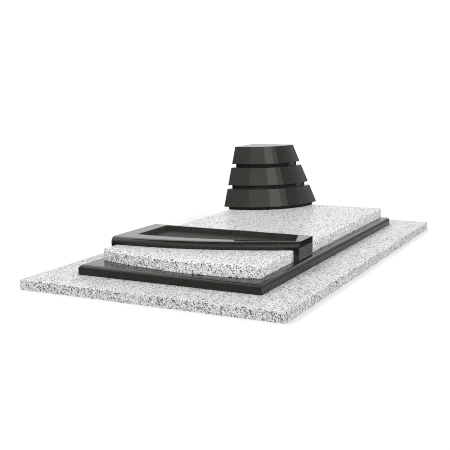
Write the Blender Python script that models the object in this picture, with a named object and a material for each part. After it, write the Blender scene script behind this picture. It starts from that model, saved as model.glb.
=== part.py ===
"""Marble grave monument: a pale base slab, a low kerb, a ledger, a planter and a quarter-round stele.

X runs along the front, Y to the back and Z up. The origin is at the middle of the base slab's underside.
"""

import math

import bmesh
import bpy
from mathutils import Vector

# All sizes are in metres.
SEAM = 0.0003

BASE_WIDTH = 1.40
BASE_LENGTH = 2.40
BASE_HEIGHT = 0.05
BASE_ARRIS = 0.003

KERB_WIDTH = 1.00
KERB_LENGTH = 2.00
KERB_HEIGHT = 0.05
KERB_EDGE_RADIUS = 0.020
KERB_FRONT_DEPTH = 0.20
KERB_RAIL_WIDTH = 0.10

LEDGER_WIDTH = 0.90
LEDGER_HEIGHT = 0.06
LEDGER_BACK_MARGIN = 0.025
LEDGER_LEFT_SETBACK = 0.150
LEDGER_RIGHT_SETBACK = 0.095
LEDGER_FRONT_RADIUS = 1.55
LEDGER_EDGE_RADIUS = 0.010

PLANTER_CHEEK = 0.022
PLANTER_SIDE_GAP = 0.003
PLANTER_HEIGHT = 0.04
PLANTER_EDGE_RADIUS = 0.028
PLANTER_FRONT_RADIUS = 2.00
PLANTER_LEFT_FRONT = -0.746
PLANTER_RIGHT_FRONT = -0.506
PLANTER_BACK = -0.318

TROUGH_FLOOR = 0.010
TROUGH_BACK_RIM = 0.012
TROUGH_LEFT_RIM = 0.086
TROUGH_RIGHT_RIM = 0.030
TROUGH_RIGHT_RIM_BACK = 0.079
TROUGH_LEFT_FRONT_RIM = 0.117
TROUGH_RIGHT_FRONT_RIM = 0.030
TROUGH_FRONT_RADIUS = 2.00

STELE_RADIUS = 0.465
STELE_TOP_RADIUS = 0.294
STELE_OVERHANG = 0.026
STELE_RECESS = 0.022
STELE_FOOT_HEIGHT = 0.019
STELE_TIER_HEIGHT = 0.1115
STELE_SPACER_HEIGHT = 0.023
STELE_TIERS = 3
STELE_ARRIS = 0.0015

# Surface levels and edges that follow from the sizes above.
BASE_TOP = BASE_HEIGHT
KERB_TOP = BASE_TOP + KERB_HEIGHT
LEDGER_TOP = KERB_TOP + LEDGER_HEIGHT
PLANTER_TOP = LEDGER_TOP + PLANTER_HEIGHT
KERB_FRONT = -KERB_LENGTH / 2
KERB_BACK = KERB_LENGTH / 2
KERB_RAIL_FRONT = KERB_FRONT + KERB_FRONT_DEPTH
LEDGER_SIDE = LEDGER_WIDTH / 2
LEDGER_BACK = KERB_BACK - LEDGER_BACK_MARGIN
PLANTER_CHEEK_INSIDE = LEDGER_SIDE + PLANTER_SIDE_GAP
PLANTER_SIDE = PLANTER_CHEEK_INSIDE + PLANTER_CHEEK

LONG_ARC_STEPS = 48
QUARTER_STEPS = 40
ARRIS_STEPS = 2
KERB_ROUND_STEPS = 8
LEDGER_ROUND_STEPS = 6
PLANTER_ROUND_STEPS = 10
FLAT_LIMIT = math.radians(30)
COPLANAR = math.radians(0.01)
CUT_SPARE = 0.05


def clear_scene():
    for item in list(bpy.data.objects):
        bpy.data.objects.remove(item, do_unlink=True)


def stone(name, colour, roughness):
    material = bpy.data.materials.new(name)
    material.use_nodes = True
    shader = material.node_tree.nodes["Principled BSDF"]
    shader.inputs["Base Color"].default_value = (*colour, 1.0)
    shader.inputs["Roughness"].default_value = roughness
    shader.inputs["Metallic"].default_value = 0.0
    material.diffuse_color = (*colour, 1.0)
    return material


def pale_granite(node):
    return stone(node + "_granite", (0.66, 0.66, 0.65), 0.35)


def dark_granite(node):
    return stone(node + "_granite", (0.028, 0.028, 0.026), 0.12)


def arc_centre(start, end, radius):
    """Centre of the arc from start to end that bulges to the right of that direction."""
    chord = end - start
    inward = Vector((-chord.y, chord.x)).normalized()
    return (start + end) / 2 + inward * math.sqrt(radius ** 2 - (chord.length / 2) ** 2)


def front_arc(centre, radius, left, right, inset=0.0, side_inset=0.0):
    """Points of an arc's front from left to right. An arc further in shares the angles of the outer one."""
    first, last = [math.asin((end - centre.x) / radius) for end in (left, right)]
    reach = radius - inset
    angles = [first + (last - first) * step / LONG_ARC_STEPS for step in range(LONG_ARC_STEPS + 1)]
    angles[0] = math.asin((left + side_inset - centre.x) / reach)
    angles[-1] = math.asin((right - side_inset - centre.x) / reach)
    return [centre + reach * Vector((math.sin(angle), -math.cos(angle))) for angle in angles]


def stack(layers):
    """A closed solid through outlines at rising levels, which all have the same number of points."""
    form = bmesh.new()
    rings = [[form.verts.new((point.x, point.y, level)) for point in outline] for outline, level in layers]
    form.faces.new(list(reversed(rings[0])))
    form.faces.new(rings[-1])
    for low, high in zip(rings, rings[1:]):
        for index in range(len(low)):
            after = (index + 1) % len(low)
            form.faces.new((low[index], low[after], high[after], high[index]))
    return form


def prism(outline, bottom, top):
    return stack([(outline, bottom), (outline, top)])


def rounded_block(outline_at, bottom, top, radius, steps):
    """A block with rounded top edges. The function gives its outline so far in at that level."""
    layers = [(outline_at(0.0, bottom), bottom)]
    for step in range(steps + 1):
        angle = math.pi / 2 * step / steps
        level = top - radius + radius * math.sin(angle)
        layers.append((outline_at(radius * (1 - math.cos(angle)), level), level))
    form = stack(layers)
    bmesh.ops.dissolve_limit(form, angle_limit=COPLANAR, verts=form.verts, edges=form.edges)
    bmesh.ops.connect_verts_nonplanar(form, angle_limit=COPLANAR, faces=form.faces)
    return form


def rectangle(left, front, right, back):
    return [Vector(corner) for corner in ((left, front), (right, front), (right, back), (left, back))]


def round_edges(form, radius, wanted, steps):
    """Rounds each edge whose two ends both satisfy the test."""
    edges = [edge for edge in form.edges if wanted(edge.verts[0].co, edge.verts[1].co)]
    bmesh.ops.bevel(form, geom=edges, offset=radius, segments=steps, profile=0.5, affect="EDGES")


def at_level(level):
    return lambda start, end: abs(start.z - level) < SEAM and abs(end.z - level) < SEAM


def add_object(name, form, material):
    bmesh.ops.recalc_face_normals(form, faces=form.faces)
    mesh = bpy.data.meshes.new(name)
    form.to_mesh(mesh)
    form.free()
    mesh.shade_smooth()
    mesh.set_sharp_from_angle(angle=FLAT_LIMIT)
    item = bpy.data.objects.new(name, mesh)
    bpy.context.scene.collection.objects.link(item)
    if material:
        mesh.materials.append(material)
    return item


def add_cut(item, cutter):
    cutter.hide_render = True
    cutter.display_type = "WIRE"
    cut = item.modifiers.new(cutter.name, "BOOLEAN")
    cut.operation = "DIFFERENCE"
    cut.solver = "EXACT"
    cut.object = cutter


def build_base():
    form = prism(rectangle(-BASE_WIDTH / 2, -BASE_LENGTH / 2, BASE_WIDTH / 2, BASE_LENGTH / 2), 0.0, BASE_TOP)
    round_edges(form, BASE_ARRIS, at_level(BASE_TOP), ARRIS_STEPS)
    add_object("base_slab", form, pale_granite("base_slab"))


def build_kerb():
    """Four lengths of kerb: a deep front, two side rails that run to the back, and a rail between them."""
    side = KERB_WIDTH / 2
    rail_inside = side - KERB_RAIL_WIDTH
    back_rail_front = KERB_BACK - KERB_RAIL_WIDTH
    rail_start = KERB_RAIL_FRONT + SEAM
    lengths = {
        "kerb_front": (-side, KERB_FRONT, side, KERB_RAIL_FRONT),
        "kerb_left": (-side, rail_start, -rail_inside, KERB_BACK),
        "kerb_right": (rail_inside, rail_start, side, KERB_BACK),
        "kerb_back": (-rail_inside + SEAM, back_rail_front, rail_inside - SEAM, KERB_BACK),
    }

    def outer_top(start, end):
        middle = (start + end) / 2
        on_side = abs(abs(middle.x) - side) < SEAM
        on_end = abs(abs(middle.y) - KERB_BACK) < SEAM
        return at_level(KERB_TOP)(start, end) and (on_side or on_end)

    for name, corners in lengths.items():
        form = prism(rectangle(*corners), BASE_TOP + SEAM, KERB_TOP)
        round_edges(form, KERB_EDGE_RADIUS, outer_top, KERB_ROUND_STEPS)
        add_object(name, form, dark_granite(name))


def build_ledger():
    front_left = Vector((-LEDGER_SIDE, KERB_FRONT + LEDGER_LEFT_SETBACK))
    front_right = Vector((LEDGER_SIDE, KERB_FRONT + LEDGER_RIGHT_SETBACK))
    centre = arc_centre(front_left, front_right, LEDGER_FRONT_RADIUS)

    def outline_at(inset, _level):
        front = front_arc(centre, LEDGER_FRONT_RADIUS, -LEDGER_SIDE, LEDGER_SIDE, inset, inset)
        side = LEDGER_SIDE - inset
        back = LEDGER_BACK - inset
        return [*front, Vector((side, back)), Vector((-side, back))]

    form = rounded_block(outline_at, KERB_TOP + SEAM, LEDGER_TOP, LEDGER_EDGE_RADIUS, LEDGER_ROUND_STEPS)
    add_object("ledger", form, pale_granite("ledger"))


def trough_cutter():
    """The planting bed: its front follows the planter's own sweep, and its right end slants."""
    left = -PLANTER_SIDE + TROUGH_LEFT_RIM
    right = PLANTER_SIDE - TROUGH_RIGHT_RIM
    right_back = PLANTER_SIDE - TROUGH_RIGHT_RIM_BACK
    back = PLANTER_BACK - TROUGH_BACK_RIM
    front_left = Vector((left, PLANTER_LEFT_FRONT + TROUGH_LEFT_FRONT_RIM))
    front_right = Vector((right, PLANTER_RIGHT_FRONT + TROUGH_RIGHT_FRONT_RIM))
    centre = arc_centre(front_left, front_right, TROUGH_FRONT_RADIUS)
    front = front_arc(centre, TROUGH_FRONT_RADIUS, left, right)
    outline = [*front, Vector((right_back, back)), Vector((left, back))]
    form = prism(outline, LEDGER_TOP + SEAM + TROUGH_FLOOR, PLANTER_TOP + CUT_SPARE)
    return add_object("trough_cut", form, None)


def build_planter():
    """A slab with a sunken bed and a rounded front. Its ends turn down past the ledger's sides to the kerb."""
    front_left = Vector((-PLANTER_SIDE, PLANTER_LEFT_FRONT))
    front_right = Vector((PLANTER_SIDE, PLANTER_RIGHT_FRONT))
    centre = arc_centre(front_left, front_right, PLANTER_FRONT_RADIUS)

    def outline_at(inset, _level):
        front = front_arc(centre, PLANTER_FRONT_RADIUS, -PLANTER_SIDE, PLANTER_SIDE, inset)
        return [*front, Vector((PLANTER_SIDE, PLANTER_BACK)), Vector((-PLANTER_SIDE, PLANTER_BACK))]

    bottom = KERB_TOP + SEAM
    form = rounded_block(outline_at, bottom, PLANTER_TOP, PLANTER_EDGE_RADIUS, PLANTER_ROUND_STEPS)
    planter = add_object("planter", form, dark_granite("planter"))

    saddle = rectangle(
        -PLANTER_CHEEK_INSIDE,
        PLANTER_LEFT_FRONT - CUT_SPARE,
        PLANTER_CHEEK_INSIDE,
        PLANTER_BACK + CUT_SPARE,
    )
    form = prism(saddle, KERB_TOP - CUT_SPARE, LEDGER_TOP + SEAM)
    add_cut(planter, add_object("saddle_cut", form, None))
    add_cut(planter, trough_cutter())


def quarter_outline(corner, radius, inset=0.0):
    """A quarter round with two straight sides that meet at its back left corner."""
    reach = radius - inset
    angles = [math.pi / 2 * step / QUARTER_STEPS for step in range(QUARTER_STEPS + 1)]
    angles[0] = math.asin(inset / reach)
    angles[-1] = math.pi / 2 - angles[0]
    points = [corner + reach * Vector((math.sin(angle), -math.cos(angle))) for angle in angles]
    return [*points, corner + Vector((inset, -inset))]


def build_stele():
    """Tapered tiers on thinner recessed spacers, at the back left corner of the ledger."""
    foot_corner = Vector((-LEDGER_SIDE, LEDGER_BACK))
    tier_corner = foot_corner + Vector((-STELE_OVERHANG, STELE_OVERHANG))
    spacer_corner = tier_corner + Vector((STELE_RECESS, -STELE_RECESS))
    stack_height = STELE_TIERS * STELE_TIER_HEIGHT + (STELE_TIERS - 1) * STELE_SPACER_HEIGHT
    taper = (STELE_RADIUS - STELE_TOP_RADIUS) / stack_height
    first_level = LEDGER_TOP + STELE_FOOT_HEIGHT

    def radius_at(level):
        return STELE_RADIUS - taper * (level - first_level)

    def add_spacer(name, bottom, top):
        corner = foot_corner if bottom < first_level else spacer_corner
        back_to_front = abs(corner.x - tier_corner.x) + STELE_RECESS
        radius = radius_at((bottom + top) / 2) - back_to_front
        add_object(name, prism(quarter_outline(corner, radius), bottom + SEAM, top), dark_granite(name))

    def tier_outline(inset, level):
        return quarter_outline(tier_corner, radius_at(level), inset)

    add_spacer("stele_foot", LEDGER_TOP, first_level)
    bottom = first_level
    for tier in range(1, STELE_TIERS + 1):
        top = bottom + STELE_TIER_HEIGHT
        name = f"stele_tier_{tier}"
        form = rounded_block(tier_outline, bottom + SEAM, top, STELE_ARRIS, ARRIS_STEPS)
        add_object(name, form, dark_granite(name))
        if tier < STELE_TIERS:
            add_spacer(f"stele_spacer_{tier}", top, top + STELE_SPACER_HEIGHT)
        bottom = top + STELE_SPACER_HEIGHT


def main():
    clear_scene()
    build_base()
    build_kerb()
    build_ledger()
    build_planter()
    build_stele()


main()
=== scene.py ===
"""Looks of the grave monument: speckled pale granite and polished near-black granite.

It stands in a plain white studio. Metres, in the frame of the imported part: +X to the right
along the front, +Y to the back, +Z up.
"""

import math

import bmesh
import bpy
from mathutils import Matrix, Vector


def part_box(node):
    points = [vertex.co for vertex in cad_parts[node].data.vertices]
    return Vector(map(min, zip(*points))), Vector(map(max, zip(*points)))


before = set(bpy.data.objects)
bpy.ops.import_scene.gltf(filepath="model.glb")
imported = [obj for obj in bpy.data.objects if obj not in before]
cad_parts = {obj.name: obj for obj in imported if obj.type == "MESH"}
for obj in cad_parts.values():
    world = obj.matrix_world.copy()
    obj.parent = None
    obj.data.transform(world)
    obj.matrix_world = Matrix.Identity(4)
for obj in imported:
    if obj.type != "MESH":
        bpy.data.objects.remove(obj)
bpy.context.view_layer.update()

# The camera stands right of the middle and looks back to the left, hardly rolled.
IMAGE_SIDE = 450
SENSOR_MM = 36.0
FOCAL_PIXELS = 819.9
CAMERA_PLACE = Vector((1.972, -4.192, 0.973))
CAMERA_TURN = math.radians(27.33)
CAMERA_DROP = math.radians(9.76)
CAMERA_ROLL = math.radians(0.79)

# A narrow pixel filter and no prefilter in the denoiser, so that the stones keep their fine grain.
PIXEL_BLUR = 1.0
PREFILTER = "NONE"

# The floor and the dome behind it are only a background, and the stones mirror the world instead.
FLOOR_HALF = 80.0
FLOOR_DROP = 0.0002
FLOOR_WHITE = 0.79
DOME_RADIUS = 60.0
DOME_GLOW = 1.05
DOME_STEPS = 32

# Brightness of the studio by height above the horizon in degrees, nearly dark below it.
SKY = (
    (-90, 0.08),
    (-1, 0.08),
    (0, 1.00),
    (5, 1.35),
    (11, 1.85),
    (20, 2.30),
    (30, 2.20),
    (38, 1.40),
    (50, 0.35),
)
# How much of it there is on each side, in degrees from straight in front, turning to the right.
SIDES = (
    (-180, 0.66),
    (-145, 0.66),
    (-100, 0.35),
    (-50, 0.45),
    (-10, 0.95),
    (40, 1.30),
    (100, 1.50),
    (140, 0.70),
    (160, 0.30),
    (180, 0.66),
)
# Light from below the horizon, for the back and the left side to mirror.
GROUND = (
    (-180, 0.90),
    (-60, 0.90),
    (-46, 0.00),
    (120, 0.00),
    (126, 0.90),
    (142, 0.90),
    (150, 0.00),
    (166, 0.00),
    (172, 0.90),
    (180, 0.90),
)
# Softboxes side by side around it: (where one starts, the height of its foot, its brightness).
SOFTBOXES = (
    (-180, 30, 0.50),
    (-150, 36, 3.00),
    (-118, 46, 3.30),
    (-62, 34, 3.60),
    (-37, 30, 1.45),
    (13, 30, 2.30),
    (55, 30, 4.10),
    (78, 30, 2.30),
    (91, 25, 0.90),
    (119, 14, 1.10),
    (150, 30, 0.30),
)
SOFTBOX_TOP = 60

# Each sharp edge gets a fine arris. The weighted normals keep the flat faces flat.
ARRIS_WIDTH = 0.0012
ARRIS_STEPS = 2
ARRIS_ANGLE = math.radians(50)
WELD_DISTANCE = 0.00001
FLAT_ANGLE = math.radians(0.1)
NORMAL_WEIGHT = 100

# The pale stones, with how light each block is, partly as painted shade. Crystals are listed as (how
# many are darker, colour).
# The base slab is darker than the ledger as painted shade, for the shade it gets low by the floor.
PALE_TONE_AND_PAINTED_SHADE = {"base_slab": 0.77, "ledger": 0.82}
PALE_GRANITE = {
    "crystal_size": 0.0045,
    "crystals": (
        (0.00, (0.42, 0.42, 0.425)),
        (0.14, (0.66, 0.66, 0.665)),
        (0.34, (0.86, 0.86, 0.86)),
        (0.60, (0.95, 0.95, 0.94)),
    ),
    "fleck_size": 0.0046,
    "fleck_share": 0.18,
    "fleck": (0.07, 0.07, 0.073),
    "roughness": (0.20, 0.32),
    "relief": 0.00006,
    "shine": 0.06,
    "shine_colour": (1.0, 1.0, 1.0),
}
DARK_GRANITE = {
    "crystal_size": 0.003,
    "crystals": (
        (0.00, (0.0080, 0.0079, 0.0069)),
        (0.45, (0.0117, 0.0115, 0.0101)),
        (0.80, (0.0162, 0.0159, 0.0142)),
        (0.96, (0.0270, 0.0265, 0.0240)),
    ),
    "fleck_size": 0.0016,
    "fleck_share": 0.10,
    "fleck": (0.0045, 0.0045, 0.0040),
    "roughness": (0.03, 0.06),
    "relief": 0.00001,
    "shine": 0.25,
    "shine_colour": (1.0, 0.98, 0.92),
}
# The planting bed is left sawn. Its floor is above the ledger, and it ends short of the planter's sides.
BED_LIFT = 0.010
BED_MARGIN = 0.015
SAWN = {"roughness": (0.55, 0.70), "shine": 0.20}
SAWN_LIGHTNESS = 2.6
# How much of a face's normal points up, at least on a level face and at most on an upright one.
LEVEL_FACE = 0.99
UPRIGHT_FACE = 0.002
# The thin foot of the stele is honed, and its colour is darkened as painted shade for the shade in its
# recess.
HONED = {"roughness": (0.30, 0.40), "shine": 0.08}
FOOT_PAINTED_SHADE = 0.55

# Each stone is cut from another place in the block, and its crystals are a little crooked.
STONE_SHIFT = Vector((3.7, 1.3, 2.1))
GRAIN_WOBBLE = 0.0012
WOBBLE_SIZE = 0.006

# Socket numbers of a Mix node that mixes colours.
MIX_FIRST = 6
MIX_SECOND = 7
MIX_RESULT = 2


def add_node(tree, kind, inputs=None, **settings):
    item = tree.nodes.new(kind)
    for key, value in settings.items():
        setattr(item, key, value)
    for key, value in (inputs or {}).items():
        if isinstance(value, bpy.types.NodeSocket):
            tree.links.new(value, item.inputs[key])
        else:
            item.inputs[key].default_value = value
    return item


def math_node(tree, operation, *values):
    item = add_node(tree, "ShaderNodeMath", dict(enumerate(values)), operation=operation)
    return item.outputs["Value"]


def ramp(tree, value, stops, interpolation):
    """A colour ramp whose stops are (position, colour)."""
    item = add_node(tree, "ShaderNodeValToRGB", {"Fac": value})
    item.color_ramp.interpolation = interpolation
    elements = item.color_ramp.elements
    elements.remove(elements[-1])
    elements[0].position = stops[0][0]
    elements[0].color = (*stops[0][1], 1.0)
    for position, colour in stops[1:]:
        elements.new(position).color = (*colour, 1.0)
    return item.outputs["Color"]


def mix(tree, factor, first, second):
    inputs = {"Factor": factor, MIX_FIRST: first, MIX_SECOND: second}
    return add_node(tree, "ShaderNodeMix", inputs, data_type="RGBA").outputs[MIX_RESULT]


def vector_node(tree, operation, *values):
    item = add_node(tree, "ShaderNodeVectorMath", dict(enumerate(values)), operation=operation)
    return item.outputs["Vector"]


def crystal_values(tree, place, size):
    """A random value from 0 to 1 for each crystal of that size."""
    voronoi = add_node(tree, "ShaderNodeTexVoronoi", {"Vector": place, "Scale": 1 / size})
    parts = add_node(tree, "ShaderNodeSeparateColor", {"Color": voronoi.outputs["Color"]}).outputs
    return parts["Red"]


def granite(name, shift, look, tone_and_painted_shade=1.0):
    """Granite: angular crystals of a few tones, and small dark flecks that are polished less."""
    material = bpy.data.materials.new(name)
    material.use_nodes = True
    tree = material.node_tree
    shader = tree.nodes["Principled BSDF"]
    place = add_node(tree, "ShaderNodeTexCoord").outputs["Object"]
    place = vector_node(tree, "ADD", place, shift)
    noise = add_node(tree, "ShaderNodeTexNoise", {"Vector": place, "Scale": 1 / WOBBLE_SIZE})
    wobble = (GRAIN_WOBBLE,) * 3
    place = vector_node(tree, "MULTIPLY_ADD", noise.outputs["Color"], wobble, place)

    value = crystal_values(tree, place, look["crystal_size"])
    grain = crystal_values(tree, place, look["fleck_size"])
    is_fleck = math_node(tree, "LESS_THAN", grain, look["fleck_share"])
    # The colours are scaled by the block's tone, which is darkened as painted shade on the base slab and
    # the stele's foot.
    crystals = [(share, [part * tone_and_painted_shade for part in colour]) for share, colour in look["crystals"]]
    colour = mix(tree, is_fleck, ramp(tree, value, crystals, "CONSTANT"), (*look["fleck"], 1.0))
    tree.links.new(colour, shader.inputs["Base Color"])

    smoothest, roughest = look["roughness"]
    span = {"Value": value, "To Min": roughest, "To Max": smoothest}
    dull = add_node(tree, "ShaderNodeMapRange", span).outputs["Result"]
    roughness = math_node(tree, "MULTIPLY_ADD", is_fleck, roughest, dull)
    tree.links.new(roughness, shader.inputs["Roughness"])
    shader.inputs["Specular IOR Level"].default_value = look["shine"]
    shader.inputs["Specular Tint"].default_value = (*look["shine_colour"], 1.0)
    height = math_node(tree, "SUBTRACT", 1.0, is_fleck)
    bump = {"Height": height, "Distance": look["relief"], "Strength": 1.0}
    relief = add_node(tree, "ShaderNodeBump", bump)
    tree.links.new(relief.outputs["Normal"], shader.inputs["Normal"])
    return material


def ease_edges(stone):
    """A fine polished arris on every sharp edge. The flat faces still mirror truly."""
    weld = stone.modifiers.new("weld", "WELD")
    weld.merge_threshold = WELD_DISTANCE
    flatten = stone.modifiers.new("flatten", "DECIMATE")
    flatten.decimate_type = "DISSOLVE"
    flatten.angle_limit = FLAT_ANGLE
    arris = stone.modifiers.new("arris", "BEVEL")
    arris.width = ARRIS_WIDTH
    arris.segments = ARRIS_STEPS
    arris.limit_method = "ANGLE"
    arris.angle_limit = ARRIS_ANGLE
    arris.use_clamp_overlap = True
    even = stone.modifiers.new("even", "WEIGHTED_NORMAL")
    even.weight = NORMAL_WEIGHT
    even.keep_sharp = True


def saw_bed(planter):
    """Gives the floor and the upright walls of the planting bed the planter's second material."""
    floor_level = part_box("ledger")[1].z + BED_LIFT - WELD_DISTANCE
    side, _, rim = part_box("planter")[1]
    for face in planter.data.polygons:
        corners = [planter.data.vertices[corner].co for corner in face.vertices]
        heights = [corner.z for corner in corners]
        is_inside = max(abs(corner.x) for corner in corners) < side - BED_MARGIN
        is_within = is_inside and min(heights) > floor_level
        is_wall = abs(face.normal.z) < UPRIGHT_FACE
        is_floor = face.normal.z > LEVEL_FACE and max(heights) < rim - WELD_DISTANCE
        face.material_index = int(is_within and (is_wall or is_floor))


def stone_material(name, shift):
    if name in PALE_TONE_AND_PAINTED_SHADE:
        return granite(name + "_polished", shift, PALE_GRANITE, PALE_TONE_AND_PAINTED_SHADE[name])
    # The stele's foot: honed, with its colour darkened as painted shade.
    if name == "stele_foot":
        return granite(name + "_honed_painted_shade", shift, {**DARK_GRANITE, **HONED}, FOOT_PAINTED_SHADE)
    return granite(name + "_polished", shift, DARK_GRANITE)


def dress_stones():
    """Gives each stone its own piece of granite and eases its edges."""
    for order, (name, stone) in enumerate(sorted(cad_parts.items())):
        shift = STONE_SHIFT * order
        stone.data.materials.clear()
        stone.data.materials.append(stone_material(name, shift))
        if name == "planter":
            sawn = granite(name + "_sawn", shift, {**DARK_GRANITE, **SAWN}, SAWN_LIGHTNESS)
            stone.data.materials.append(sawn)
            saw_bed(stone)
        stone.data.shade_smooth()
        ease_edges(stone)


def add_camera():
    forward = Vector(
        (
            -math.sin(CAMERA_TURN) * math.cos(CAMERA_DROP),
            math.cos(CAMERA_TURN) * math.cos(CAMERA_DROP),
            -math.sin(CAMERA_DROP),
        )
    )
    right = forward.cross(Vector((0, 0, 1))).normalized()
    up = right.cross(forward)
    axes = Matrix((right, up, -forward)).transposed()
    axes = Matrix.Rotation(CAMERA_ROLL, 3, forward) @ axes
    data = bpy.data.cameras.new("camera")
    data.sensor_width = SENSOR_MM
    data.lens = FOCAL_PIXELS / IMAGE_SIDE * SENSOR_MM
    camera = bpy.data.objects.new("camera", data)
    camera.matrix_world = Matrix.Translation(CAMERA_PLACE) @ axes.to_4x4()
    bpy.context.scene.collection.objects.link(camera)
    bpy.context.scene.camera = camera
    bpy.context.scene.cycles.filter_width = PIXEL_BLUR
    bpy.context.scene.cycles.denoising_prefilter = PREFILTER


def add_backdrop(name, mesh, colour, glow):
    """A plain part of the studio that only the camera sees, so that the stones don't mirror it."""
    backdrop = bpy.data.objects.new(name, mesh)
    bpy.context.scene.collection.objects.link(backdrop)
    material = bpy.data.materials.new(name)
    material.use_nodes = True
    shader = material.node_tree.nodes["Principled BSDF"]
    shader.inputs["Base Color"].default_value = (*colour, 1.0)
    shader.inputs["Roughness"].default_value = 1.0
    shader.inputs["Specular IOR Level"].default_value = 0.0
    shader.inputs["Emission Color"].default_value = (1.0, 1.0, 1.0, 1.0)
    shader.inputs["Emission Strength"].default_value = glow
    mesh.materials.append(material)
    backdrop.visible_glossy = False
    backdrop.visible_diffuse = False
    backdrop.visible_shadow = False


def add_floor():
    mesh = bpy.data.meshes.new("floor")
    signs = ((-1, -1), (1, -1), (1, 1), (-1, 1))
    corners = [(x * FLOOR_HALF, y * FLOOR_HALF, -FLOOR_DROP) for x, y in signs]
    mesh.from_pydata(corners, [], [(0, 1, 2, 3)])
    add_backdrop("floor", mesh, (FLOOR_WHITE,) * 3, 0.0)


def add_dome():
    mesh = bpy.data.meshes.new("dome")
    shell = bmesh.new()
    steps = {"u_segments": DOME_STEPS, "v_segments": DOME_STEPS}
    bmesh.ops.create_uvsphere(shell, radius=DOME_RADIUS, **steps)
    shell.to_mesh(mesh)
    shell.free()
    add_backdrop("dome", mesh, (0.0, 0.0, 0.0), DOME_GLOW)


def turned(degrees):
    """Where a direction lies on a ramp that runs once around the studio."""
    return degrees / 360 + 0.5


def raised(degrees):
    """Where a direction lies on a ramp that runs from straight down to straight up."""
    return degrees / 180 + 0.5


def grey(level):
    return (level,) * 3


def around(tree, turn, stops, interpolation):
    """A brightness that changes around the studio. Stops are (degrees, brightness)."""
    stops = [(turned(degrees), grey(level)) for degrees, level in stops]
    return ramp(tree, turn, stops, interpolation)


def light_studio():
    """Soft light from all sides, with upright softboxes for the polished stones to mirror."""
    world = bpy.data.worlds.new("studio")
    world.use_nodes = True
    tree = world.node_tree
    direction = add_node(tree, "ShaderNodeTexCoord").outputs["Generated"]
    parts = add_node(tree, "ShaderNodeSeparateXYZ", {"Vector": direction}).outputs
    front = math_node(tree, "MULTIPLY", parts["Y"], -1.0)
    turn = math_node(tree, "ARCTAN2", parts["X"], front)
    turn = math_node(tree, "MULTIPLY_ADD", turn, 1 / math.tau, 0.5)
    rise = math_node(tree, "ARCSINE", parts["Z"])
    rise = math_node(tree, "MULTIPLY_ADD", rise, 1 / math.pi, 0.5)
    sky = ramp(tree, rise, [(raised(height), grey(level)) for height, level in SKY], "LINEAR")
    sky = math_node(tree, "MULTIPLY", sky, around(tree, turn, SIDES, "LINEAR"))
    is_below = math_node(tree, "LESS_THAN", rise, raised(0))
    sky = math_node(tree, "MULTIPLY_ADD", is_below, around(tree, turn, GROUND, "LINEAR"), sky)
    boxes = around(tree, turn, [(start, level) for start, _, level in SOFTBOXES], "CONSTANT")
    feet = around(tree, turn, [(start, raised(foot)) for start, foot, _ in SOFTBOXES], "CONSTANT")
    is_over = math_node(tree, "GREATER_THAN", rise, feet)
    is_under = math_node(tree, "LESS_THAN", rise, raised(SOFTBOX_TOP))
    is_box = math_node(tree, "MULTIPLY", is_over, is_under)
    tree.links.new(mix(tree, is_box, sky, boxes), tree.nodes["Background"].inputs["Color"])
    bpy.context.scene.world = world
    bpy.context.scene.view_settings.view_transform = "Standard"


add_camera()
add_floor()
add_dome()
light_studio()
dress_stones()
